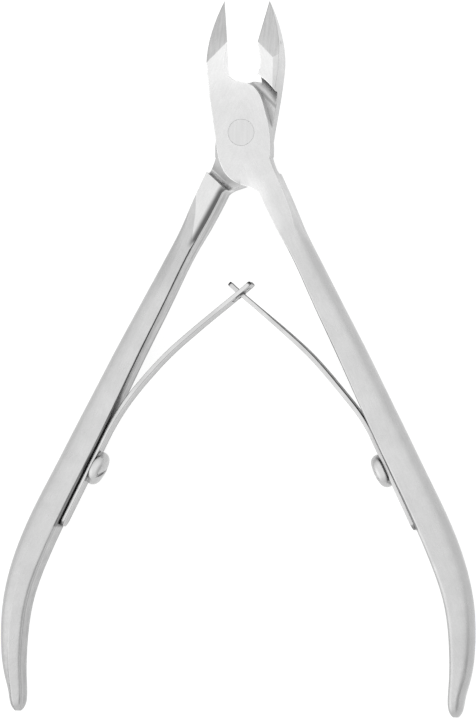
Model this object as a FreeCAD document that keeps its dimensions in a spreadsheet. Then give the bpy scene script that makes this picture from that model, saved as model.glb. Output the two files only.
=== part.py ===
import FreeCAD, Part
import os
from math import asin, cos, pi, sin

import Sketcher
from FreeCAD import Placement, Rotation, Vector

# Cuticle nipper, lying flat and sprung open.
# X is to the right, +Y runs along the tool to the jaw tips, +Z is the thickness.
# The origin is on the pivot axis, in the plane that the tool lies on.

SIZES = {
    "joint_thickness": 6.6,
    "lap_gap": 0.04,
    "shoulder_radius": 0.95,
    "jaw_shoulder_radius": 1.4,
    "front_bevel": 30.0,
    "back_bevel": 24.0,
    "edge_relief": 13.0,
    "jaw_chamfer": 33.0,
    "rivet_shank": 3.2,
    "rivet_head": 4.4,
    "rivet_head_height": 1.2,
    "rivet_play": 0.03,
    "rivet_recess": 0.06,
    "corner_radius": 0.35,
    "grip_corner_radius": 0.9,
    "leaf_thickness": 0.7,
    "leaf_width": 3.8,
    "leaf_gap": 0.03,
    "tongue_width": 1.3,
    "window_width": 1.8,
    "screw_head": 5.75,
    "screw_bulge": 0.15,
    "screw_crown_drop": 0.25,
    "screw_head_height": 2.1,
    "screw_shank": 2.5,
    "screw_length": 3.9,
    "screw_hole_depth": 4.2,
    "slot_width": 0.7,
    "slot_depth": 0.6,
    "clearance_hole": 2.9,
}

# The jaw and lap plate seen from above, on the half whose jaw is on the left.
JAW_OUTSIDE = [
    (-3.82, 22.25), (-4.84, 19.7), (-5.6, 17.0), (-6.08, 13.8), (-5.85, 9.0), (-5.3, 5.0), (-4.3, -1.2)
]
PLATE_FOOT = [(-4.3, -1.2), (-3.75, -4.4), (-2.3, -7.2), (-0.2, -8.6), (2.3, -9.5), (3.7, -11.0)]
PLATE_SIDE = [(5.0, -3.8), (4.95, -1.2), (4.7, 0.8), (4.05, 3.4), (3.2, 6.0), (1.8, 7.8)]
JAW_WINDOW = [(1.8, 7.8), (0.3, 8.3), (-1.9, 9.0), (-2.9, 10.3), (-3.0, 12.3), (-2.6, 15.15)]
CUTTING_EDGE = ((-2.6, 15.15), (-3.82, 22.25))
BEVEL_FOOT = ((-2.6, 15.15), (-5.95, 11.75))

# Where the jaw's outer chamfer meets its face on the lap side, and how far the chamfer runs along Y.
CHAMFER_FOOT = -5.15
CHAMFER_RUN = 30.0

# The lap plate's hidden corners, inside the handle's root.
PLATE_ROOT = [(5.2, -12.0), (4.5, -5.6)]

# The two shoulders that the other half's lap plate turns between, and the area that is ground flat.
JAW_SHOULDER = [(-1.6, 10.15), (-4.5, 8.25), (-6.2, 5.8)]
HANDLE_SHOULDER = [(1.3, -10.6), (6.8, -5.7)]
GROUND_AREA = [(-10, -25), (20, -25), (20, 10), (-10, 10)]

# Handle sections on the right: Y, inner side, outer side, half height, power of the round.
HANDLE_STATIONS = [
    (-3.2, 0.5, 4.75, 4.2, 8.0),
    (-6.2, 1.4, 5.65, 4.2, 8.0),
    (-9.2, 2.7, 7.1, 4.2, 7.0),
    (-13.2, 4.65, 9.0, 3.9, 5.0),
    (-16.3, 6.35, 10.5, 3.6, 3.6),
    (-19.3, 8.08, 12.15, 3.34, 2.8),
    (-36.3, 16.4, 21.3, 3.3, 2.7),
    (-49.6, 22.69, 28.15, 3.3, 2.7),
    (-62.9, 29.14, 34.9, 3.3, 2.7),
    (-71.3, 32.9, 38.3, 3.25, 2.6),
    (-78.0, 35.2, 39.85, 3.15, 2.5),
    (-85.0, 36.15, 40.15, 3.05, 2.5),
    (-91.0, 36.2, 39.35, 2.9, 2.4),
    (-94.0, 36.05, 38.55, 2.75, 2.4),
]
HANDLE_END = -96.9
STRAIGHT_STATIONS = range(5, 8)
END_STEPS = (0.5, 0.8, 0.95)
END_LEAN = 0.15
ROUND_POINTS = 9

# The inner corners grow from small to soft along this stretch of Y.
SOFTENING = (-50.0, -75.0)

# The flat inner side of the right handle, where the leaf spring lies, and the spring's free run.
SEAT_TOP = Vector(22.65, -49.6, 0)
SEAT_FOOT = Vector(29.1, -62.9, 0)
SCREW_ALONG = 6.5
SCREW_SKETCH_DEPTH = 0.5
LEAF_ROOT_ALONG = 17.8
LEAF_FREE = [(19.0, -44.8), (13.05, -37.9), (7.57, -32.9), (0.0, -26.35), (-2.0, -24.7)]
LEAF_TIP_DIRECTION = Vector(-1.0, 0.72, 0)
LEAF_SAMPLES = 9

# Where the window and the notches beside the tongue lie, as shares of the leaf's free run.
WINDOW_SHARES = (0.87, 0.975)
TONGUE_SHARES = (0.86, 1.1)

# A screw head's crown, as a share of its radius, and the height of its widest part.
CROWN_SHARE = 0.62
BULGE_HEIGHT_SHARE = 0.4

# Cutting sketches reach this far past the material.
BEYOND = 12.0
CLEAR = 2.0
SAME_PLACE = 1e-3
RELIEF_RUN_IN = 4.5

doc = FreeCAD.newDocument("cuticle_nipper")


def make_sheet():
    sheet = doc.addObject("Spreadsheet::Sheet", "sizes")
    for row, (alias, value) in enumerate(SIZES.items(), start=1):
        sheet.set(f"A{row}", alias.replace("_", " "))
        sheet.set(f"B{row}", str(value))
        sheet.setAlias(f"B{row}", alias)
    doc.recompute()
    return sheet


sizes = make_sheet()


def new_body(label):
    body = doc.addObject("PartDesign::Body", label)
    body.Label = label
    return body


def new_sketch(body, name, role="XY_Plane", offset=None):
    """A sketch on one of the body's own origin planes, moved by offset in that plane's frame."""
    plane = next(item for item in body.Origin.OriginFeatures if item.Role == role)
    sketch = body.newObject("Sketcher::SketchObject", name)
    sketch.AttachmentSupport = [(plane, "")]
    sketch.MapMode = "FlatFace"
    if offset:
        sketch.AttachmentOffset = offset
    return sketch


def join_chain(sketch, curves):
    """Adds curves that follow one another round a closed outline, and ties their ends."""
    added = [sketch.addGeometry(curve, False) for curve in curves]
    for here, following in zip(added, added[1:] + added[:1]):
        pairs = [(a, b) for a in (1, 2) for b in (1, 2)]
        a, b = min(pairs, key=lambda ends: (sketch.getPoint(here, ends[0])
                                            - sketch.getPoint(following, ends[1])).Length)
        sketch.addConstraint(Sketcher.Constraint("Coincident", here, a, following, b))


def spline(points, start=None, finish=None):
    curve = Part.BSplineCurve()
    knots = [Vector(p[0], p[1], 0) for p in points]
    if start:
        curve.interpolate(Points=knots, InitialTangent=start, FinalTangent=finish)
    else:
        curve.interpolate(Points=knots)
    return curve


def polyline(points):
    corners = [Vector(p[0], p[1], 0) for p in points]
    return [Part.LineSegment(a, b) for a, b in zip(corners, corners[1:])]


def polygon(sketch, points):
    join_chain(sketch, polyline(list(points) + [points[0]]))


def circle(sketch, diameter_alias, play_alias=None):
    """A circle about the sketch's origin, with play all round where it is named."""
    diameter = sizes.get(diameter_alias)
    formula = f"sizes.{diameter_alias}"
    if play_alias:
        diameter += 2 * sizes.get(play_alias)
        formula += f" + 2 * sizes.{play_alias}"
    ring = sketch.addGeometry(Part.Circle(Vector(), Vector(0, 0, 1), diameter / 2))
    sketch.addConstraint(Sketcher.Constraint("Coincident", ring, 3, -1, 1))
    bound = sketch.addConstraint(Sketcher.Constraint("Diameter", ring, diameter))
    sketch.setExpression(f"Constraints[{bound}]", formula)


def pad(body, sketch, length):
    feature = body.newObject("PartDesign::Pad", f"{sketch.Name}_pad")
    feature.Profile = sketch
    feature.setExpression("Length", length)
    doc.recompute()


def pocket(body, sketch, length, along_normal=False, both_ways=False):
    """Cuts against the sketch's normal, along it or both ways. It stops the build if nothing came off."""
    before = body.Shape.Volume
    feature = body.newObject("PartDesign::Pocket", f"{sketch.Name}_pocket")
    feature.Profile = sketch
    feature.Reversed = along_normal
    if both_ways:
        feature.SideType = "Symmetric"
    feature.setExpression("Length", length)
    doc.recompute()
    if body.Shape.Volume >= before:
        raise RuntimeError(f"{feature.Name} cut nothing")


def upright(direction, origin):
    """A sketch frame whose X runs along a level direction and whose Y is straight up."""
    level = Vector(direction[0], direction[1], 0).normalize()
    return Placement(origin, Rotation(level, Vector(0, 0, 1), level.cross(Vector(0, 0, 1)), "ZXY"))


def handle_section(body, number, station):
    """A D section: flat inner side, small inner corners, and a full round to the outside."""
    along, inner, outer, height, power = station
    middle = sizes.joint_thickness / 2
    start, finish = SOFTENING
    grip = min(max((along - start) / (finish - start), 0), 1)
    soft = sizes.corner_radius + grip * (sizes.grip_corner_radius - sizes.corner_radius)
    corner = min(soft, height / 3, (outer - inner) / 3)
    reach = outer - inner - corner
    sketch = new_sketch(body, f"section_{number}", "XZ_Plane", Placement(Vector(0, 0, -along), Rotation()))
    rim = []
    for step in range(ROUND_POINTS):
        turn = pi / 2 - pi * step / (ROUND_POINTS - 1)
        side = max(cos(turn), 0.0) ** (2 / power)
        rise = abs(sin(turn)) ** (2 / power) * (1 if turn > 0 else -1)
        rim.append((inner + corner + reach * side, middle + height * rise))
    outward = Vector(1, 0, 0)
    bow = corner * (1 - cos(pi / 4))
    top = Part.Arc(
        Vector(inner, middle + height - corner, 0),
        Vector(inner + bow, middle + height - bow, 0),
        Vector(inner + corner, middle + height, 0),
    )
    foot = Part.Arc(
        Vector(inner + corner, middle - height, 0),
        Vector(inner + bow, middle - height + bow, 0),
        Vector(inner, middle - height + corner, 0),
    )
    flat = Part.LineSegment(
        Vector(inner, middle - height + corner, 0), Vector(inner, middle + height - corner, 0)
    )
    join_chain(sketch, [top, spline(rim, outward, -outward), foot, flat])
    return sketch


def handle_stations():
    """The drawn sections, one more between each two of the straight run, and the rounded end."""
    stations = []
    for number, station in enumerate(HANDLE_STATIONS):
        stations.append(station)
        if number in STRAIGHT_STATIONS:
            following = HANDLE_STATIONS[number + 1]
            stations.append(tuple((a + b) / 2 for a, b in zip(station, following)))
    along, inner, outer, height, power = stations[-1]
    middle = (inner + outer) / 2
    for step in END_STEPS:
        shrink = (1 - step**2) ** 0.5
        half = (outer - inner) / 2 * shrink
        lean = END_LEAN * step
        end = along + (HANDLE_END - along) * step
        stations.append((end, middle - half - lean, middle + half - lean, height * shrink, power))
    return stations


def add_handle(body):
    before = body.Shape.Volume
    sections = [handle_section(body, n, s) for n, s in enumerate(handle_stations()[::-1], start=1)]
    loft = body.newObject("PartDesign::AdditiveLoft", f"{body.Name}_handle")
    loft.Profile = sections[0]
    loft.Sections = sections[1:]
    doc.recompute()
    if body.Shape.Volume <= before:
        raise RuntimeError("the handle added nothing")


def grind_flat(body):
    """Takes the joint and the top of the handle down to the two flat faces."""
    over = new_sketch(body, "top_grind")
    over.setExpression("AttachmentOffset.Base.z", "sizes.joint_thickness")
    polygon(over, GROUND_AREA)
    pocket(body, over, f"{CLEAR} mm", along_normal=True)
    under = new_sketch(body, "bottom_grind")
    polygon(under, GROUND_AREA)
    pocket(body, under, f"{CLEAR} mm")


def cut_lap(body):
    """Takes away the half of the joint that the other lap plate fills."""
    sketch = new_sketch(body, "lap")
    bend = Part.Arc(*[Vector(x, y, 0) for x, y in JAW_SHOULDER])
    top, foot = JAW_SHOULDER[0], JAW_SHOULDER[-1]
    left, right = foot[0] - CLEAR, HANDLE_SHOULDER[-1][0] + CLEAR
    left_side = [foot, (left, 0), (left, HANDLE_SHOULDER[0][1])]
    right_side = [(right, 0), (right, top[1]), top]
    join_chain(sketch, [bend] + polyline(left_side + HANDLE_SHOULDER + right_side))
    pocket(body, sketch, "sizes.joint_thickness / 2 + sizes.lap_gap / 2", along_normal=True)
    level = sizes.joint_thickness / 2 + sizes.lap_gap / 2
    round_foot(body, "sizes.jaw_shoulder_radius", bend.toShape(), level)
    round_foot(body, "sizes.shoulder_radius", polyline(HANDLE_SHOULDER)[0].toShape(), level)


def round_foot(body, radius, line, level):
    """Rounds the edge that runs along a line at one level, at the foot of a shoulder."""
    def on_line(edge):
        first, last = edge.FirstParameter, edge.LastParameter
        points = [edge.valueAt(place) for place in (first, (first + last) / 2, last)]
        gaps = [line.distToShape(Part.Vertex(p.x, p.y, 0))[0] + abs(p.z - level) for p in points]
        return max(gaps) < SAME_PLACE

    base = body.Tip
    feature = body.newObject("PartDesign::Fillet", "foot_round")
    feature.Base = (base, [f"Edge{n}" for n, edge in enumerate(base.Shape.Edges, start=1) if on_line(edge)])
    feature.setExpression("Radius", radius)
    doc.recompute()


def chamfer_jaw(body):
    """Breaks the jaw's outer edge on the lap side, from the shoulder to the tip."""
    start = Placement(Vector(0, 0, -JAW_SHOULDER[-1][1]), Rotation())
    sketch = new_sketch(body, "jaw_chamfer", "XZ_Plane", start)
    out, rise = CHAMFER_FOOT - BEYOND, BEYOND * tan_of("jaw_chamfer")
    polygon(sketch, [(CHAMFER_FOOT, 0), (out, rise), (out, -CLEAR), (CHAMFER_FOOT, -CLEAR)])
    pocket(body, sketch, f"{CHAMFER_RUN} mm")


def bevel_jaw(body, name, face, inward, angle_alias):
    """Grinds a flat bevel from the bevel foot towards the jaw tip, from one face inwards."""
    (x1, y1), (x2, y2) = BEVEL_FOOT
    direction = (-(y1 - y2), x1 - x2)
    sketch = new_sketch(body, name, offset=upright(direction, Vector(x1, y1, face)))
    drop = inward * BEYOND * tan_of(angle_alias)
    polygon(sketch, [(0, 0), (BEYOND, drop), (BEYOND, -inward * CLEAR), (0, -inward * CLEAR)])
    pocket(body, sketch, f"{4 * BEYOND} mm", both_ways=True)


def tan_of(angle_alias):
    angle = sizes.get(angle_alias) * pi / 180
    return sin(angle) / cos(angle)


def relieve_edge(body, face, inward):
    """Leans the jaw's inner wall back, so that only the cutting edges meet."""
    heel, tip = [Vector(x, y, face) for x, y in CUTTING_EDGE]
    foot_a, foot_b = [Vector(x, y, 0) for x, y in BEVEL_FOOT]
    slope = (foot_a - foot_b).normalize()
    ahead = Vector(-slope.y, slope.x, 0)
    tip.z += inward * (tip - heel).dot(ahead) * tan_of("front_bevel")
    edge = (tip - heel).normalize()
    across = Vector(edge.y, -edge.x, 0).normalize()
    depth = edge.cross(across)
    if depth.z * inward < 0:
        depth = -depth
    frame = Rotation(across, depth, across.cross(depth), "ZXY")
    sketch = new_sketch(body, "edge_relief", offset=Placement(heel - edge * RELIEF_RUN_IN, frame))
    lean = BEYOND * tan_of("edge_relief")
    polygon(sketch, [(0, 0), (-lean, BEYOND), (BEYOND / 2, BEYOND), (BEYOND / 2, 0)])
    pocket(body, sketch, f"{BEYOND + RELIEF_RUN_IN} mm", along_normal=across.cross(depth).dot(edge) > 0)


def seat_frame():
    """The direction along the handle's flat and the way that the flat faces."""
    along = (SEAT_FOOT - SEAT_TOP).normalize()
    return along, Vector(along.y, -along.x, 0)


def screw_point(distance_off):
    along, facing = seat_frame()
    point = SEAT_TOP + along * SCREW_ALONG + facing * distance_off
    point.z = sizes.joint_thickness / 2
    return point


def drill_screw_hole(body):
    """The blind hole for the screw, drilled from a little way above the flat."""
    along, facing = seat_frame()
    place = upright(along, screw_point(SCREW_SKETCH_DEPTH))
    sketch = new_sketch(body, "screw_hole", offset=place)
    circle(sketch, "screw_shank")
    inward = place.Rotation.multVec(Vector(0, 0, 1)).dot(facing) < 0
    pocket(body, sketch, "sizes.screw_hole_depth", along_normal=inward)


def drill_rivet_hole(body, turned):
    """The front half turns on the rivet, which is held fast in the back half."""
    through = new_sketch(body, "rivet_hole")
    circle(through, "rivet_shank", None if turned else "rivet_play")
    pocket(body, through, "sizes.joint_thickness", along_normal=True)
    if turned:
        return
    seat = new_sketch(body, "rivet_head_seat")
    seat.setExpression("AttachmentOffset.Base.z", "sizes.joint_thickness")
    circle(seat, "rivet_head", "rivet_play")
    pocket(body, seat, "sizes.rivet_head_height + sizes.rivet_play")


def make_half(label, turned):
    """One forging: jaw, lap plate and handle. The back half is the same forging turned over."""
    body = new_body(label)
    sketch = new_sketch(body, "head_outline")
    join_chain(
        sketch,
        [spline(JAW_OUTSIDE), spline(PLATE_FOOT)]
        + polyline([PLATE_FOOT[-1]] + PLATE_ROOT + [PLATE_SIDE[0]])
        + [spline(PLATE_SIDE), spline(JAW_WINDOW)]
        + polyline(CUTTING_EDGE),
    )
    pad(body, sketch, "sizes.joint_thickness")
    add_handle(body)
    grind_flat(body)
    cut_lap(body)
    chamfer_jaw(body)
    top, bottom = sizes.joint_thickness, 0.0
    front, back = (bottom, top) if turned else (top, bottom)
    inward = 1 if turned else -1
    bevel_jaw(body, "front_bevel", front, inward, "front_bevel")
    bevel_jaw(body, "back_bevel", back, -inward, "back_bevel")
    relieve_edge(body, front, inward)
    drill_rivet_hole(body, turned)
    drill_screw_hole(body)
    if turned:
        body.Placement = Placement(Vector(0, 0, top), Rotation(Vector(0, 1, 0), 180))
    return body


def make_rivet():
    """A flush rivet: a wide head in the front half and a shank through both."""
    body = new_body("pivot_rivet")
    shank = new_sketch(body, "shank")
    shank.setExpression("AttachmentOffset.Base.z", "sizes.rivet_recess")
    circle(shank, "rivet_shank")
    pad(body, shank, "sizes.joint_thickness - sizes.rivet_recess - sizes.rivet_head_height")
    head = new_sketch(body, "head")
    head.setExpression("AttachmentOffset.Base.z", "sizes.joint_thickness - sizes.rivet_head_height")
    circle(head, "rivet_head")
    pad(body, head, "sizes.rivet_head_height")
    return body


def leaf_outline(side):
    """The leaf's centre line, seen from above: straight along its seat, then a free bend."""
    along, facing = seat_frame()
    off = sizes.leaf_gap + sizes.leaf_thickness / 2
    root = SEAT_TOP + along * LEAF_ROOT_ALONG + facing * off
    lift = SEAT_TOP + facing * off
    bend = spline([(lift.x, lift.y)] + LEAF_FREE, -along, LEAF_TIP_DIRECTION)
    half = sizes.leaf_thickness / 2

    def edge(offset):
        points = []
        for step in range(LEAF_SAMPLES):
            share = step / (LEAF_SAMPLES - 1)
            at = bend.FirstParameter + share * (bend.LastParameter - bend.FirstParameter)
            tangent = Vector(*bend.tangent(at)[0])
            point = bend.value(at) + Vector(tangent.y, -tangent.x, 0) * offset
            points.append((point.x * side, point.y))
        return points

    outer, inner = edge(half), edge(-half)
    root_outer = root - facing * half
    root_inner = root + facing * half
    ends = [(root_outer.x * side, root_outer.y), (root_inner.x * side, root_inner.y)]
    return outer, inner, ends, bend


def leaf_area(bend, side, shares):
    """A four-sided area, seen from above, across the leaf between two shares of its free run."""
    first, last = bend.FirstParameter, bend.LastParameter
    a, b = [bend.value(first + min(share, 1) * (last - first)) for share in shares]
    run = (b - a).normalize()
    if shares[1] > 1:
        b = b + run
    out = Vector(run.y, -run.x, 0)
    return [(p.x * side, p.y) for p in (a - out, b - out, b + out, a + out)]


def make_leaf(label, side, windowed):
    """A leaf spring. One has a window near its tip, and the other's tongue goes through it."""
    body = new_body(label)
    outer, inner, ends, bend = leaf_outline(side)
    sketch = new_sketch(body, "leaf")
    sketch.setExpression("AttachmentOffset.Base.z", "(sizes.joint_thickness - sizes.leaf_width) / 2")
    join_chain(
        sketch,
        polyline([ends[1], ends[0], outer[0]])
        + [spline(outer)]
        + polyline([outer[-1], inner[-1]])
        + [spline(inner[::-1])]
        + polyline([inner[0], ends[1]]),
    )
    pad(body, sketch, "sizes.leaf_width")
    if windowed:
        slot = new_sketch(body, "window")
        slot.setExpression("AttachmentOffset.Base.z", "(sizes.joint_thickness - sizes.window_width) / 2")
        polygon(slot, leaf_area(bend, side, WINDOW_SHARES))
        pocket(body, slot, "sizes.window_width", along_normal=True)
    else:
        for name, lift, rising in (("upper_notch", "+", True), ("lower_notch", "-", False)):
            notch = new_sketch(body, name)
            level = f"(sizes.joint_thickness {lift} sizes.tongue_width) / 2"
            notch.setExpression("AttachmentOffset.Base.z", level)
            polygon(notch, leaf_area(bend, side, TONGUE_SHARES))
            pocket(body, notch, "sizes.leaf_width", along_normal=rising)
    along, _ = seat_frame()
    spot = screw_point(sizes.leaf_thickness / 2)
    spot.x *= side
    hole = new_sketch(body, "screw_clearance", offset=upright((along.x * side, along.y), spot))
    circle(hole, "clearance_hole")
    pocket(body, hole, f"{CLEAR} mm", both_ways=True)
    return body


def make_screw(label, side):
    """A slotted, domed screw: rim, dome and a plain shank for the thread."""
    body = new_body(label)
    sketch = new_sketch(body, "profile", "XZ_Plane")
    head, shank = sizes.screw_head / 2, sizes.screw_shank / 2
    top, depth = sizes.screw_head_height, sizes.screw_length
    crown, crown_drop = CROWN_SHARE * head, sizes.screw_crown_drop
    radius = (crown**2 + crown_drop**2) / (2 * crown_drop)
    half_turn = asin(crown / radius) / 2
    on_crown = (radius * sin(half_turn), top - radius + radius * cos(half_turn))
    foot, bulge = head - sizes.screw_bulge, (head, BULGE_HEIGHT_SHARE * top)
    outline = polyline([(0, top), (0, -depth), (shank, -depth), (shank, 0), (foot, 0)])
    side_arc = Part.Arc(Vector(foot, 0, 0), Vector(*bulge, 0), Vector(crown, top - crown_drop, 0))
    dome = Part.Arc(Vector(crown, top - crown_drop, 0), Vector(*on_crown, 0), Vector(0, top, 0))
    join_chain(sketch, outline + [side_arc, dome])
    reach = sketch.addConstraint(Sketcher.Constraint("DistanceX", -1, 1, 3, 2, foot))
    sketch.setExpression(f"Constraints[{reach}]", "sizes.screw_head / 2 - sizes.screw_bulge")
    turned = body.newObject("PartDesign::Revolution", "turned")
    turned.Profile = sketch
    turned.ReferenceAxis = (sketch, ["V_Axis"])
    turned.Angle = 360
    doc.recompute()
    slot = new_sketch(body, "slot")
    slot.setExpression("AttachmentOffset.Base.z", "sizes.screw_head_height")
    half = sizes.slot_width / 2
    polygon(slot, [(-head, -half), (head, -half), (head, half), (-head, half)])
    pocket(body, slot, "sizes.slot_depth")
    _, facing = seat_frame()
    seat = screw_point(sizes.leaf_thickness + 2 * sizes.leaf_gap)
    seat.x *= side
    facing = Vector(facing.x * side, facing.y, 0)
    body.Placement = Placement(seat, Rotation(Vector(0, 0, 1), facing))
    return body


def write_parts(bodies):
    doc.recompute()
    for item in doc.Objects:
        if "Invalid" in item.State or "Error" in item.State:
            raise RuntimeError(f"{item.Name} did not build: {item.State}")
    os.makedirs("parts", exist_ok=True)
    for body in bodies:
        shape = body.Shape
        if shape.isNull() or not shape.isValid() or len(shape.Solids) != 1:
            raise RuntimeError(f"{body.Label} is not one valid solid")
        shape.exportStep(f"parts/{body.Label}.step")
        box = shape.BoundBox
        reach = " ".join(f"{value:.2f}" for value in (box.XMin, box.XMax, box.YMin, box.YMax))
        print(f"{body.Label}: {shape.Volume:.1f} mm3, X and Y {reach}")


write_parts([
    make_half("front_half", turned=False),
    make_half("back_half", turned=True),
    make_rivet(),
    make_leaf("left_spring", -1, windowed=True),
    make_leaf("right_spring", 1, windowed=False),
    make_screw("left_spring_screw", -1),
    make_screw("right_spring_screw", 1),
])
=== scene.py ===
import itertools
import math

import bmesh
import bpy
from mathutils import Matrix, Vector


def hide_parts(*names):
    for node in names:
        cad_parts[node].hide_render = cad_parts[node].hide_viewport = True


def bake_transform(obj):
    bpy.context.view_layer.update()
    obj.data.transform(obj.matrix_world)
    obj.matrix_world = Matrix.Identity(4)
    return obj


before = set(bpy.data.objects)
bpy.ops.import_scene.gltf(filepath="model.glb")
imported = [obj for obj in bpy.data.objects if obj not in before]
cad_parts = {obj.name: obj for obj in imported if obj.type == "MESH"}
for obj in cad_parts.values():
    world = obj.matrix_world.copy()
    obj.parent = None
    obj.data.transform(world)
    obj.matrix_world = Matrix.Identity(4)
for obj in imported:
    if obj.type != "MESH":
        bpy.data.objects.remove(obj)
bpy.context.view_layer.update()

# Sizes are in millimetres and turned to metres by MM. The jaws point along +Y and the grips along -Y.
MM = 0.001

# The camera looks down on the tool from a long way off, a little from the right and from the grips' end.
# Its angles are in degrees.
VIEW_RIGHT = 11.25
VIEW_DOWN = 2.6
VIEW_ROLL = 0.91
VIEW_DISTANCE = 1300
VIEW_CENTRE = Vector((-0.5, -37.81, 3.6))
PIXELS_PER_MM = 6.0
FRAME_HEIGHT = 720
SENSOR_WIDTH = 36
CLIP_RANGE = (10, 10000)

# The floor lies just below the tool, and glows so that it comes out nearly white.
FLOOR_REACH = 2000
FLOOR_LEVEL = -0.02
FLOOR_GREY = 0.2
FLOOR_GLOW = 0.88

# The light is a soft tent. These are its strengths at the horizon and straight above, and two patches low at
# the sides: the way to each, the cosines of its rim and of its core, and its core's share of the strength.
SKY_STRENGTHS = (1.1, 1.5)
DIM_PATCH = ((0.87, -0.46, 0.15), 0.75, 0.97, 0.6)
BRIGHT_PATCH = ((-0.85, -0.42, 0.2), 0.6, 0.95, 1.45)

# The height of the parting plane between the two halves.
PARTING = 3.3

# Each handle leans out from the tool's length by this angle.
HANDLE_LEAN = math.radians(25.5)

# The line where the rounded foot of each jaw's shoulder meets the lap: its facing, and how far out it is.
FOOT_FACING = (0.69, 0.72)
FOOT_REACH = 6.88

# The handle's shoulder is a straight wall across the lap, seen in |x| and y: its facing and its distance.
SHOULDER_FACING = (-0.665, 0.747)
SHOULDER_REACH = 8.78

# The painted shade on the rolled inner edge of a handle's root starts on this line, seen in y and across the
# handle.
ROLL_SLOPE = -0.054
ROLL_START = -0.863
ROLL_WIDTH = 0.9

# The steels' base colours, from 0 for black to 1. A pair holds the tones at the two ends of a ramp.
PLATE_TONE = 0.515
HANDLE_TONES = (0.45, 0.425)
JAW_TONE = 0.60
JAW_SIDE_TONE = 0.56
THROAT_HIGHLIGHT_TONE = 0.86
FACET_TONES = (0.40, 0.455)
LAP_TONES = (0.40, 0.46)
SHOULDER_SHADE_TONE = 0.29
SHOULDER_CORNER_LIGHT_TONE = 0.85
FOOT_SHADE_TONE = 0.29
BORE_LIGHT_TONE = 0.9
ROOT_FLAT_TONE = 0.535
ROOT_OUTER_TONE = 0.40
WALL_TONES = (0.28, 0.50)
ROLL_SHADE_TONE = 0.09
PLAIN_CORNER_SHADE_TONE = 0.30
LAP_CORNER_SHADE_TONE = 0.12
SEAT_SHADE_TONE = 0.01
SEAT_CORNER_SHADE_TONE = 0.22
RIVET_TONES = (0.475, 0.505)
SCREW_TONE = 0.47
LEAF_FACE_TONE = 0.72
LEAF_EDGE_TONE = 0.47
LEAF_CORNER_SHADE_TONE = 0.22
LEAF_OUTER_SHADE_TONE = 0.05
CROSSING_SHADE_TONE = 0.01

# Shares by which some places are lighter or darker than the steel round them. Most are painted highlight or
# painted shade.
FACET_FOOT_SHARE = 1.08
ROOT_OUTER_HIGHLIGHT_SHARE = 1.24
ROOT_FLAT_HIGHLIGHT_SHARES = (1.14, 0.96)
GRIP_WALL_SHARE = 0.84
RIM_SHADE_SHARE = 0.68
WEAR_AND_HIGHLIGHT_SHARE = 1.35

# Soft edges: their radius on the forgings, and at the rivet's flush head, where they would show as a ring.
FORGED_SOFTNESS = 0.3
FLUSH_SOFTNESS = 0.005

# The fine grain of every steel: how strong and deep its bumps are, and its noise scale.
GRAIN_STRENGTH = 0.08
GRAIN_DEPTH = 0.02
GRAIN_SCALE = 9000

# Nearly all of a noise lies between these values.
NOISE_LOW, NOISE_HIGH = 0.3, 0.7

# The leaf springs, as drawn on the right handle: the flat seat, then the free run's centre line and its
# direction at both ends. Each leaf reaches LEAF_ROOT_ALONG down its seat, and lies LEAF_GAP clear of it.
SEAT_TOP = Vector((22.65, -49.6, 0))
SEAT_FOOT = Vector((29.1, -62.9, 0))
LEAF_FREE = [(19.0, -44.8), (13.05, -37.9), (7.57, -32.9), (0.0, -26.65), (-1.95, -24.95)]
LEAF_ROOT_PULL = 6
LEAF_TIP_PULL = Vector((-2, 1.6, 0))
LEAF_CURVE_STEPS = 16
LEAF_ROOT_ALONG = 17.8
LEAF_GAP = 0.03
LEAF_THICKNESS = 0.7
LEAF_WIDTH = 3.8
LEAF_ROOT_ROUND = 1.3
LEAF_TIP_ROUND = 0.6

# A leaf's edges are rounded by this radius where its faces meet at more than the first angle, and shaded as
# sharp above the second. Vertices nearer than the last are one.
EDGE_RADIUS = 0.11
ROUNDED_ANGLE = math.radians(60)
SHARP_ANGLE = math.radians(35)
MERGE_DISTANCE = 0.001

# Both leaves lean a little to the left where they are free. They come to that lean over a run past the seat.
LEAF_DRIFT = 0.3
LIFT_RUN = 8.0

# The middle of the painted shade that marks where the leaves cross.
CROSSING_SHADE_MIDDLE = (-0.4, -26.85)

# The window's ends and the tongue's start, as shares of the free run, and how wide both are. The leaf with
# the tongue narrows down to it over the waist.
WINDOW_SHARES = (0.87, 0.975)
WINDOW_WIDTH = 1.8
TONGUE_SHARE = 0.86
TONGUE_WIDTH = 1.3
WAIST_RUN = 10.0

# The rows of a leaf's grid: some close together at each rounded end, and steady ones between, which start a
# little way in and keep clear of the others.
ROOT_ROWS = [0.05, 0.2, 0.5, 0.9, LEAF_ROOT_ROUND]
TIP_ROWS = [0.03, 0.15, 0.35, LEAF_TIP_ROUND]
ROW_STEP = 0.5
ROW_START = 2.0
ROW_CLEARANCE = 0.3


# --- shader building ---------------------------------------------------------------------------

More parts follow.
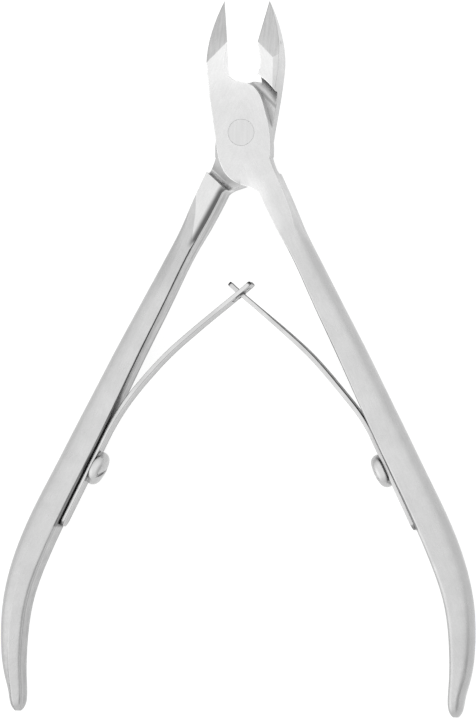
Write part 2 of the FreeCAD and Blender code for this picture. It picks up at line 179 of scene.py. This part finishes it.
class Nodes:
    """Short-hand for building a node tree."""

    def __init__(self, tree):
        self.tree = tree

    def add(self, kind, **settings):
        node = self.tree.nodes.new(kind)
        for key, value in settings.items():
            setattr(node, key, value)
        return node

    def feed(self, socket, value):
        if isinstance(value, bpy.types.NodeSocket):
            self.tree.links.new(value, socket)
        else:
            socket.default_value = value

    def maths(self, operation, a, b=0.0, c=0.0):
        node = self.add("ShaderNodeMath", operation=operation)
        for socket, value in zip(node.inputs, (a, b, c)):
            self.feed(socket, value)
        return node.outputs[0]

    def product(self, *factors):
        result = factors[0]
        for factor in factors[1:]:
            result = self.maths("MULTIPLY", result, factor)
        return result

    def outside(self, mask):
        """The opposite of a mask."""
        return self.maths("SUBTRACT", 1.0, mask)

    def project(self, x, y, facing):
        """How far a flat vector reaches along a facing."""
        return self.maths("ADD", self.product(x, facing[0]), self.product(y, facing[1]))

    def distance(self, x, y):
        return self.maths("SQRT", self.maths("ADD", self.product(x, x), self.product(y, y)))

    def ramp(self, value, low, high, start=0.0, end=1.0):
        """Runs smoothly from start at low to end at high."""
        node = self.add("ShaderNodeMapRange", interpolation_type="SMOOTHSTEP")
        for socket, item in zip(node.inputs, (value, low, high, start, end)):
            self.feed(socket, item)
        return node.outputs[0]

    def mix(self, factor, a, b):
        """a at factor 0 and b at factor 1."""
        node = self.add("ShaderNodeMix", data_type="FLOAT")
        self.feed(node.inputs[0], factor)
        self.feed(node.inputs[2], a)
        self.feed(node.inputs[3], b)
        return node.outputs[0]

    def noise(self, coordinates, scale, detail=2.0):
        node = self.add("ShaderNodeTexNoise")
        self.feed(node.inputs["Vector"], coordinates)
        node.inputs["Scale"].default_value = scale
        node.inputs["Detail"].default_value = detail
        return node.outputs["Fac"]

    def mottle(self, coordinates, scale, detail, low, high):
        """A noise brought to run between low and high."""
        return self.ramp(self.noise(coordinates, scale, detail), NOISE_LOW, NOISE_HIGH, low, high)

    def triple(self, x, y, z):
        node = self.add("ShaderNodeCombineXYZ")
        for socket, value in zip(node.inputs, (x, y, z)):
            self.feed(socket, value)
        return node.outputs[0]

    def parts(self, vector):
        node = self.add("ShaderNodeSeparateXYZ")
        self.feed(node.inputs[0], vector)
        return node.outputs

    def dot(self, a, b):
        node = self.add("ShaderNodeVectorMath", operation="DOT_PRODUCT")
        self.feed(node.inputs[0], a)
        self.feed(node.inputs[1], b)
        return node.outputs["Value"]

    def grey(self, value):
        node = self.add("ShaderNodeCombineColor")
        for socket in node.inputs[:3]:
            self.feed(socket, value)
        return node.outputs[0]


class Surface(Nodes):
    """A new material's node tree, with its shader."""

    def __init__(self, name):
        self.material = bpy.data.materials.new(name)
        self.material.use_nodes = True
        super().__init__(self.material.node_tree)
        self.shader = self.tree.nodes["Principled BSDF"]


class Steel(Surface):
    """Bare steel: metallic, with softened edges and a fine grain. bevel, tone and rough take the steel."""

    def __init__(self, name, tone, rough, bevel, edge_tint=1.0):
        super().__init__(name)
        places = self.add("ShaderNodeTexCoord")
        self.at = places.outputs["Object"]
        self.x, self.y, self.z = [self.product(part, 1 / MM) for part in self.parts(self.at)]
        self.nx, self.ny, self.nz = self.parts(places.outputs["Normal"])
        self.level = self.maths("ABSOLUTE", self.nz)
        soft = self.add("ShaderNodeBevel", samples=8)
        self.feed(soft.inputs["Radius"], bevel(self))
        self.soft_normal = soft.outputs[0]
        self.feed(self.shader.inputs["Base Color"], self.grey(tone(self)))
        self.feed(self.shader.inputs["Roughness"], rough(self))
        self.feed(self.shader.inputs["Normal"], self.grain())
        self.shader.inputs["Metallic"].default_value = 1.0
        self.shader.inputs["Specular Tint"].default_value = (edge_tint, edge_tint, edge_tint, 1)

    def grain(self):
        bump = self.add("ShaderNodeBump")
        bump.inputs["Strength"].default_value = GRAIN_STRENGTH
        bump.inputs["Distance"].default_value = GRAIN_DEPTH * MM
        self.feed(bump.inputs["Height"], self.noise(self.at, GRAIN_SCALE))
        self.feed(bump.inputs["Normal"], self.soft_normal)
        return bump.outputs[0]

    def turned(self):
        """How far the soft edges turn the surface away from its true normal: 0 on a plain face."""
        true = self.add("ShaderNodeNewGeometry")
        return self.maths("SUBTRACT", 1.0, self.dot(self.soft_normal, true.outputs["Normal"]))

    def from_pivot(self):
        return self.distance(self.x, self.y)


# --- the forgings' tone ------------------------------------------------------------------------

class Forging:
    """Where a point is on a forging, as masks and distances that the painting functions share."""

    def __init__(self, build):
        lean_x, lean_y = math.cos(HANDLE_LEAN), math.sin(HANDLE_LEAN)
        side = build.maths("SIGN", build.x)
        self.aside = build.maths("ABSOLUTE", build.x)
        self.across = build.project(self.aside, build.y, (lean_x, lean_y))
        self.along = build.project(self.aside, build.y, (lean_y, -lean_x))
        outward = build.project(build.product(side, build.nx), build.ny, (lean_x, lean_y))
        self.inward = build.product(outward, -1.0)
        self.rise = build.maths("ABSOLUTE", build.maths("SUBTRACT", build.z, PARTING))
        self.flat = build.ramp(build.level, 0.97, 0.995)
        self.steep = build.outside(build.ramp(build.level, 0.2, 0.5))
        self.lap = build.product(self.flat, build.ramp(self.rise, 0.6, 0.2))
        # The side of each handle that has the shoulder: the left handle's front and the right one's back.
        self.lap_side = build.ramp(build.product(side, build.nz), 0.1, -0.1)
        self.root = build.product(self.lap_side, build.ramp(build.y, -19.8, -19.4),
                                  build.ramp(build.y, -7.5, -10))
        self.wall = build.product(build.ramp(self.inward, 0.5, 0.8), self.steep,
                                  build.ramp(build.y, -8, -11))
        self.down_to_seat = build.ramp(build.y, -66.2, -65.6)
        self.seat = build.product(build.ramp(build.y, -47, -50), self.down_to_seat)


def paint_plate(build, spot):
    """The plate over the joint is bright, and the handles darken a little towards their ends."""
    handle = build.mix(build.ramp(build.y, -45, -90), *HANDLE_TONES)
    plate = build.product(spot.flat, build.ramp(build.y, -20, -10))
    return build.mix(plate, handle, PLATE_TONE)


def paint_jaw(build, spot, base):
    """The jaw's flat, its rounded sides, a painted highlight on its inner wall, and the facet ground at its
    cutting edge.
    """
    jaw = build.ramp(build.y, 4, 11)
    rounded = build.product(build.ramp(build.level, 0.98, 0.9), jaw)
    # The jaw's inner wall is painted bright: a painted highlight.
    throat = build.product(jaw, spot.steep, build.ramp(spot.inward, 0.2, 0.5))
    base = build.mix(build.product(spot.flat, jaw), base, JAW_TONE)
    base = build.mix(rounded, base, JAW_SIDE_TONE)
    base = build.mix(throat, base, THROAT_HIGHLIGHT_TONE)

    # The facet is streaked along the tool, and a little brighter at its foot.
    facet = build.product(build.ramp(build.y, 11, 11.4), build.ramp(build.ny, 0.15, 0.2),
                          build.ramp(build.level, 0.7, 0.8))
    lines = build.triple(build.x, build.product(build.y, 0.08), 0.0)
    streak = build.mottle(lines, 3.0, 4.0, *FACET_TONES)
    foot = build.ramp(build.y, 17, 14, 1.0, FACET_FOOT_SHARE)
    return build.mix(facet, base, build.product(streak, foot))


def paint_lap(build, spot, base):
    """The lap's flat at the parting plane, brighter towards the jaws."""
    return build.mix(spot.lap, base, build.ramp(build.y, 0, 4, *LAP_TONES))


def paint_shoulder(build, spot, base):
    """Painted shade on the lap beside the handle's shoulder, and painted light in their corner, which gets
    little light.
    """
    from_shoulder = build.maths("ADD", build.product(spot.aside, SHOULDER_FACING[0]),
                                build.maths("MULTIPLY_ADD", build.y, SHOULDER_FACING[1], SHOULDER_REACH))
    # Painted shade: the lap is darker close to the shoulder.
    beside = build.product(spot.lap, build.ramp(build.y, -3, -5), build.ramp(from_shoulder, 2.4, 0.8))
    base = build.mix(beside, base, SHOULDER_SHADE_TONE)
    # Painted light: the corner at the shoulder's foot is painted pale against its deep shade.
    corner = build.product(build.ramp(from_shoulder, -0.3, -0.1), build.ramp(from_shoulder, 0.75, 0.15),
                           build.ramp(spot.rise, 3.1, 2.6), build.ramp(spot.inward, -0.3, -0.1),
                           build.ramp(build.y, -4.5, -8.5))
    return build.mix(corner, base, SHOULDER_CORNER_LIGHT_TONE)


def paint_foot_shade(build, spot, base):
    """Painted shade: a thin dark line where the rounded foot of the jaw's shoulder runs into the lap."""
    turned_x = build.product(build.x, build.maths("SIGN", build.nz))
    from_foot = build.maths("SUBTRACT", build.project(turned_x, build.y, FOOT_FACING), FOOT_REACH)
    foot = build.product(build.ramp(build.maths("ABSOLUTE", from_foot), 0.4, 0.05),
                         build.ramp(spot.rise, 1.0, 0.6), build.ramp(build.y, 3, 4))
    return build.mix(foot, base, FOOT_SHADE_TONE)


def paint_bore(build, spot, base):
    """Painted light on the bore's wall, against the gap's shade, so that the rivet hardly shows in the ground
    plate.
    """
    bore = build.product(spot.steep, build.ramp(build.from_pivot(), 2.5, 2.3))
    return build.mix(bore, base, BORE_LIGHT_TONE)


def paint_shouldered_root(build, spot, base):
    """The root's side with the shoulder: a flat ground to a point at its inner edge, duller outside."""
    edge_of_flat = build.ramp(build.y, -12, -19.6, 7.5, 8.15)
    inner = build.ramp(build.maths("SUBTRACT", edge_of_flat, spot.aside), -0.08, 0.08)
    outer = build.ramp(build.maths("SUBTRACT", spot.aside, edge_of_flat), -0.08, 0.08)
    ground_flat = build.product(spot.root, build.ramp(build.level, 0.85, 0.95), inner)
    base = build.mix(ground_flat, base, ROOT_FLAT_TONE)
    beyond = build.product(spot.lap_side, build.ramp(build.y, -9, -12), build.ramp(build.y, -30, -20), outer)
    return build.mix(beyond, base, ROOT_OUTER_TONE)


def paint_plain_root(build, spot, base):
    """The root's other side, with painted highlights: a flat brightest at its inner edge, and a bright outer
    side.
    """
    plain_root = build.product(build.outside(spot.lap_side), build.ramp(spot.aside, 0.0, 2.0),
                               build.ramp(build.y, -6, -9), build.ramp(build.y, -19, -13))
    flat_share = build.ramp(spot.across, -1.6, 0.9, *ROOT_FLAT_HIGHLIGHT_SHARES)
    share = build.mix(build.ramp(spot.inward, -0.1, -0.35), flat_share, ROOT_OUTER_HIGHLIGHT_SHARE)
    return build.product(base, build.mix(plain_root, 1.0, share))


def paint_wall(build, spot, base):
    """Each handle's inner side: lines ground along it, and painted shade, darker by its rims and black under
    the leaf.
    """
    lines = build.triple(build.product(spot.along, 0.02), 0.0, build.z)
    ground = build.mottle(lines, 1.7, 3.0, *WALL_TONES)
    ground = build.mix(build.ramp(build.y, -50, -62), ground, build.product(ground, GRIP_WALL_SHARE))
    rims = build.product(build.ramp(spot.rise, 1.4, 2.8), build.ramp(build.y, -20, -35),
                         build.ramp(build.y, -66, -60))
    ground = build.product(ground, build.mix(rims, 1.0, RIM_SHADE_SHARE))
    return build.mix(spot.wall, base, build.mix(spot.seat, ground, SEAT_SHADE_TONE))


def paint_roll_shade(build, spot, base):
    """Painted shade along the rolled inner edge of the root, on its side with the shoulder."""
    rolled_from = build.maths("MULTIPLY_ADD", build.y, ROLL_SLOPE, ROLL_START)
    rolled_to = build.maths("SUBTRACT", rolled_from, ROLL_WIDTH)
    rolled = build.product(build.ramp(spot.across, rolled_from, rolled_to), spot.root,
                           build.outside(spot.wall), build.ramp(spot.rise, 2.0, 2.8),
                           build.ramp(build.y, -19.6, -17.8))
    return build.mix(rolled, base, ROLL_SHADE_TONE)


def paint_corner_shade(build, spot, base):
    """Painted shade in the corner between each handle's inner side and its flats. It starts lower on the plain
    side.
    """
    starts = build.mix(spot.lap_side, build.ramp(build.y, -22, -30), 1.0)
    corner = build.product(build.ramp(spot.inward, 0.1, 0.3), build.ramp(build.level, 0.1, 0.3),
                           build.ramp(build.level, 0.92, 0.8), build.ramp(build.y, -10, -11),
                           spot.down_to_seat, starts)
    tone = build.mix(spot.lap_side, PLAIN_CORNER_SHADE_TONE, LAP_CORNER_SHADE_TONE)
    return build.mix(corner, base, build.mix(spot.seat, tone, SEAT_CORNER_SHADE_TONE))


def paint_wear_and_highlight(build, spot, base):
    """The edges of the two flat faces are worn bright, and brighter still from a painted highlight where
    chamfers catch light.
    """
    worn = build.product(build.ramp(build.turned(), 0.01, 0.12), build.ramp(build.level, 0.9, 0.98),
                         build.ramp(spot.rise, 2.8, 3.1))
    return build.product(base, build.mix(worn, 1.0, WEAR_AND_HIGHLIGHT_SHARE))


def forged_tone(build):
    """The forgings, painted place by place. A later coat covers the earlier ones."""
    spot = Forging(build)
    base = paint_plate(build, spot)
    for paint in (paint_jaw, paint_lap, paint_shoulder, paint_foot_shade, paint_bore,
                  paint_shouldered_root, paint_plain_root, paint_wall, paint_roll_shade, paint_corner_shade, paint_wear_and_highlight):
        base = paint(build, spot, base)
    brushed = build.triple(build.product(spot.along, 0.12), spot.across, build.z)
    cloud = build.mottle(build.at, 260, 3.0, 0.97, 1.03)
    grain = build.mottle(brushed, 6.0, 3.0, 0.975, 1.025)
    speck = build.mottle(build.at, 5200, 2.0, 0.97, 1.03)
    return build.product(base, cloud, grain, speck)


# --- the other tones, roughness and soft edges -------------------------------------------------

def forged_bevel(build):
    """Broad soft edges, but none at the rivet's flush head."""
    return build.ramp(build.from_pivot(), 2.6, 3.2, FLUSH_SOFTNESS * MM, FORGED_SOFTNESS * MM)


def pivot_tone(build):
    """The rivet's head is ground with the plate, and shows faint lines along the tool."""
    lines = build.triple(build.x, build.product(build.y, 0.05), 0.0)
    ground = build.mottle(lines, 2.2, 2.0, *RIVET_TONES)
    # The rivet's side in the bore is painted bright too: painted light.
    return build.mix(build.ramp(build.level, 0.5, 0.2), ground, BORE_LIGHT_TONE)


def screw_tone(build):
    return build.product(SCREW_TONE, build.mottle(build.at, 700, 3.0, 0.95, 1.05))


def spring_tone(build):
    """The outer side of each leaf, a narrow gap from its handle, is painted nearly black as painted shade. The
    inner side and the edges are polished.
    """
    faces = build.mix(build.ramp(build.level, 0.5, 0.9), LEAF_FACE_TONE, LEAF_EDGE_TONE)
    # Painted shade: the rounded corners between a leaf's faces and its edges are dark.
    corner = build.product(build.ramp(build.level, 0.15, 0.3), build.ramp(build.level, 0.97, 0.9))
    base = build.mix(corner, faces, LEAF_CORNER_SHADE_TONE)
    base = build.mix(build.ramp(build.ny, 0.2, 0.5), base, LEAF_OUTER_SHADE_TONE)
    # Painted shade where the leaves cross.
    middle_x, middle_y = CROSSING_SHADE_MIDDLE
    from_crossing_shade = build.distance(build.maths("SUBTRACT", build.x, middle_x),
                                build.maths("SUBTRACT", build.y, middle_y))
    crossing_shade = build.product(build.ramp(from_crossing_shade, 0.95, 0.55), build.ramp(build.level, 0.9, 0.6))
    base = build.mix(crossing_shade, base, CROSSING_SHADE_TONE)
    lines = build.triple(build.product(build.x, 0.05), build.product(build.y, 0.05), build.z)
    return build.product(base, build.mottle(lines, 2.6, 3.0, 0.90, 1.08))


def even_rough(low, high, scale=900):
    def rough(build):
        return build.mottle(build.at, scale, 3.0, low, high)
    return rough


def even_bevel(radius):
    def bevel(build):
        return radius * MM
    return bevel


# --- leaf springs ------------------------------------------------------------------------------

def ease(value):
    """Runs smoothly from 0 at 0 to 1 at 1, and stays there beyond."""
    part = min(max(value, 0), 1)
    return part * part * (3 - 2 * part)


def curve_points(points, first_direction, last_direction, steps):
    """A smooth curve through points, as a Catmull-Rom spline with given end directions."""
    ghosts = [points[0] - first_direction] + points + [points[-1] + last_direction]
    run = []
    for i in range(1, len(ghosts) - 2):
        a, b, c, d = ghosts[i - 1:i + 3]
        for k in range(steps):
            t = k / steps
            run.append(0.5 * (2 * b + (c - a) * t + (2 * a - 5 * b + 4 * c - d) * t**2
                              + (3 * b - a - 3 * c + d) * t**3))
    run.append(points[-1])
    return run


class LeafPath:
    """The leaf's centre line, seen from above, from its root on the seat to its tip."""

    def __init__(self, side):
        along = (SEAT_FOOT - SEAT_TOP).normalized()
        facing = Vector((along.y, -along.x, 0))
        lift = SEAT_TOP + facing * (LEAF_GAP + LEAF_THICKNESS / 2)
        free = curve_points([lift] + [Vector((x, y, 0)) for x, y in LEAF_FREE],
                            -along * LEAF_ROOT_PULL, LEAF_TIP_PULL, LEAF_CURVE_STEPS)
        line = [lift + along * LEAF_ROOT_ALONG] + free
        self.points = [Vector((p.x * side - self.drift(p.y), p.y, 0)) for p in line]
        self.distances = [0.0]
        for a, b in zip(self.points, self.points[1:]):
            self.distances.append(self.distances[-1] + (b - a).length)
        self.length = self.distances[-1]

    def drift(self, y):
        """How far the leaf has leaned to the left: nothing on its seat, and all the way well clear of it."""
        return LEAF_DRIFT * ease((y - SEAT_TOP.y) / LIFT_RUN)

    def share(self, value):
        """The distance from the root at a share of the free run."""
        return LEAF_ROOT_ALONG + value * (self.length - LEAF_ROOT_ALONG)

    def at(self, distance):
        """The point at a distance from the root, and the direction there."""
        for k in range(1, len(self.points)):
            if distance <= self.distances[k] or k == len(self.points) - 1:
                a, b = self.points[k - 1], self.points[k]
                part = (distance - self.distances[k - 1]) / (self.distances[k] - self.distances[k - 1])
                return a.lerp(b, part), (b - a).normalized()


def leaf_rows(length, marks):
    """The grid's rows, as distances from the root. Each mark gets a row of its own."""
    fixed = marks + ROOT_ROWS + [length - d for d in TIP_ROWS]
    steps = range(int(ROW_START / ROW_STEP), int(length / ROW_STEP))
    steady = [k * ROW_STEP for k in steps if min(abs(k * ROW_STEP - row) for row in fixed) > ROW_CLEARANCE]
    return sorted(steady + fixed)


class LeafGrid:
    """A strip with rounded ends and either a window or a tongue near its tip, built as a grid of cells."""

    def __init__(self, side, windowed):
        half, opening = LEAF_WIDTH / 2, WINDOW_WIDTH / 2
        self.path = LeafPath(side)
        self.windowed = windowed
        self.window = [self.path.share(s) for s in WINDOW_SHARES]
        self.shoulder = self.path.share(TONGUE_SHARE)
        self.tip_half = half if windowed else TONGUE_WIDTH / 2
        self.rows = leaf_rows(self.path.length, self.window if windowed else [self.shoulder])
        self.levels = (-half, -opening, opening, half) if windowed else (-half, 0, half)
        self.mesh = bmesh.new()
        self.verts = {}

    def half_width(self, distance):
        """Half the leaf's width: full on the seat, waisted down to the tip's, with both ends rounded."""
        half, left = LEAF_WIDTH / 2, self.path.length - distance
        if distance < LEAF_ROOT_ROUND:
            return half - LEAF_ROOT_ROUND + math.sqrt(LEAF_ROOT_ROUND**2 - (LEAF_ROOT_ROUND - distance)**2)
        if left < LEAF_TIP_ROUND:
            return self.tip_half - LEAF_TIP_ROUND + math.sqrt(LEAF_TIP_ROUND**2 - (LEAF_TIP_ROUND - left)**2)
        return half + (self.tip_half - half) * ease((distance - self.shoulder) / WAIST_RUN + 1)

    def corner(self, row, column, outer):
        """The vertex where a row and a column meet, on the leaf's outer or inner side."""
        key = (row, column, outer)
        if key not in self.verts:
            level = self.levels[column]
            point, ahead = self.path.at(self.rows[row])
            out = Vector((ahead.y, -ahead.x, 0)) * (LEAF_THICKNESS / 2 if outer else -LEAF_THICKNESS / 2)
            reach = min(abs(level), self.half_width(self.rows[row]))
            rise = Vector((0, 0, PARTING + math.copysign(reach, level)))
            self.verts[key] = self.mesh.verts.new((point + out + rise) * MM)
        return self.verts[key]

    def is_open(self, row, column):
        """True inside the window, which is in the middle column."""
        middle = (self.rows[row] + self.rows[row + 1]) / 2
        return self.windowed and column == 1 and self.window[0] < middle < self.window[1]

    def add_faces(self):
        """Each cell's two faces, and a wall along every border that only one cell has."""
        cells_at = {}
        for r, c in itertools.product(range(len(self.rows) - 1), range(len(self.levels) - 1)):
            if self.is_open(r, c):
                continue
            ring = [(r, c), (r + 1, c), (r + 1, c + 1), (r, c + 1)]
            for outer in (True, False):
                self.mesh.faces.new([self.corner(*place, outer) for place in ring])
            for ends in zip(ring, ring[1:] + ring[:1]):
                border = frozenset(ends)
                cells_at[border] = cells_at.get(border, 0) + 1
        for border, count in cells_at.items():
            if count == 1:
                a, b = border
                wall = ((a, True), (b, True), (b, False), (a, False))
                self.mesh.faces.new([self.corner(*place, outer) for place, outer in wall])

    def round_edges(self):
        bmesh.ops.remove_doubles(self.mesh, verts=self.mesh.verts, dist=MERGE_DISTANCE * MM)
        bmesh.ops.recalc_face_normals(self.mesh, faces=self.mesh.faces)
        sharp = [e for e in self.mesh.edges if len(e.link_faces) == 2 and e.calc_face_angle() > ROUNDED_ANGLE]
        bmesh.ops.bevel(self.mesh, geom=sharp, offset=EDGE_RADIUS * MM, segments=2, profile=0.5,
                        affect="EDGES", clamp_overlap=True)

    def finished(self, name):
        """The grid as a new mesh of this name."""
        self.add_faces()
        self.round_edges()
        for face in self.mesh.faces:
            face.smooth = True
        data = bpy.data.meshes.new(name)
        self.mesh.to_mesh(data)
        self.mesh.free()
        data.set_sharp_from_angle(angle=SHARP_ANGLE)
        return data


# --- stage -------------------------------------------------------------------------------------

def add_object(name, data):
    item = bpy.data.objects.new(name, data)
    bpy.context.collection.objects.link(item)
    return item


def add_camera():
    data = bpy.data.cameras.new("camera")
    data.sensor_width = SENSOR_WIDTH
    data.lens = SENSOR_WIDTH / FRAME_HEIGHT * PIXELS_PER_MM * VIEW_DISTANCE
    data.clip_start, data.clip_end = [distance * MM for distance in CLIP_RANGE]
    right, down, roll = [math.radians(angle) for angle in (VIEW_RIGHT, VIEW_DOWN, VIEW_ROLL)]
    back = Vector((math.sin(right) * math.cos(down), -math.sin(down), math.cos(right) * math.cos(down)))
    side = Vector((0, 1, 0)).cross(back).normalized()
    up = back.cross(side)
    x_axis = side * math.cos(roll) + up * math.sin(roll)
    y_axis = back.cross(x_axis)
    place = (VIEW_CENTRE + back * VIEW_DISTANCE) * MM
    turn = Matrix((x_axis, y_axis, back)).transposed().to_4x4()
    camera = add_object("camera", data)
    camera.matrix_world = Matrix.Translation(place) @ turn
    bpy.context.scene.camera = camera


def add_floor():
    surface = Surface("floor")
    settings = {"Base Color": (FLOOR_GREY, FLOOR_GREY, FLOOR_GREY, 1), "Roughness": 1.0,
                "Specular IOR Level": 0.0, "Emission Color": (1, 1, 1, 1), "Emission Strength": FLOOR_GLOW}
    for key, value in settings.items():
        surface.shader.inputs[key].default_value = value
    data = bpy.data.meshes.new("floor")
    corners = [(x * FLOOR_REACH * MM, y * FLOOR_REACH * MM, FLOOR_LEVEL * MM)
               for x, y in ((-1, -1), (1, -1), (1, 1), (-1, 1))]
    data.from_pydata(corners, [], [(0, 1, 2, 3)])
    data.materials.append(surface.material)
    add_object("floor", data)


def add_light():
    """A soft tent: brightest straight above and low on the left, and dimmer low on the right."""
    world = bpy.data.worlds.new("world")
    bpy.context.scene.world = world
    world.use_nodes = True
    build = Nodes(world.node_tree)
    direction = build.add("ShaderNodeTexCoord").outputs["Generated"]
    strength = build.ramp(build.parts(direction)[2], 0.0, 1.0, *SKY_STRENGTHS)
    for way, rim, core, share in (DIM_PATCH, BRIGHT_PATCH):
        towards = build.dot(direction, Vector(way).normalized())
        strength = build.product(strength, build.ramp(towards, rim, core, 1.0, share))
    sky = world.node_tree.nodes["Background"]
    sky.inputs["Color"].default_value = (1, 1, 1, 1)
    build.feed(sky.inputs["Strength"], strength)


# --- the object --------------------------------------------------------------------------------

def dress(item, steel):
    item.data.materials.clear()
    item.data.materials.append(steel.material)


def add_leaf(node, side, windowed, steel):
    """The leaf that stands for a CAD spring: lying on its seat, and curved from there to its tip."""
    name = f"{node}_leaf"
    leaf = add_object(name, LeafGrid(side, windowed).finished(name))
    dress(leaf, steel)
    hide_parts(node)
    if side < 0:
        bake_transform(leaf)
    else:
        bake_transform(leaf)


forged = Steel("forged_steel", forged_tone, even_rough(0.27, 0.36, scale=600), forged_bevel)
pivot = Steel("pivot_steel", pivot_tone, even_rough(0.26, 0.34), even_bevel(0.01))
spring = Steel("spring_steel", spring_tone, even_rough(0.2, 0.3), even_bevel(0.05), edge_tint=0.6)
screw = Steel("screw_steel", screw_tone, even_rough(0.26, 0.36), even_bevel(0.35))

for half_name in ("front_half", "back_half"):
    dress(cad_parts[half_name], forged)
dress(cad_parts["pivot_rivet"], pivot)
for screw_name in ("left_spring_screw", "right_spring_screw"):
    dress(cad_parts[screw_name], screw)
add_leaf("left_spring", -1, True, spring)
add_leaf("right_spring", 1, False, spring)
add_floor()
add_light()
add_camera()
bpy.context.scene.view_settings.view_transform = "Standard"
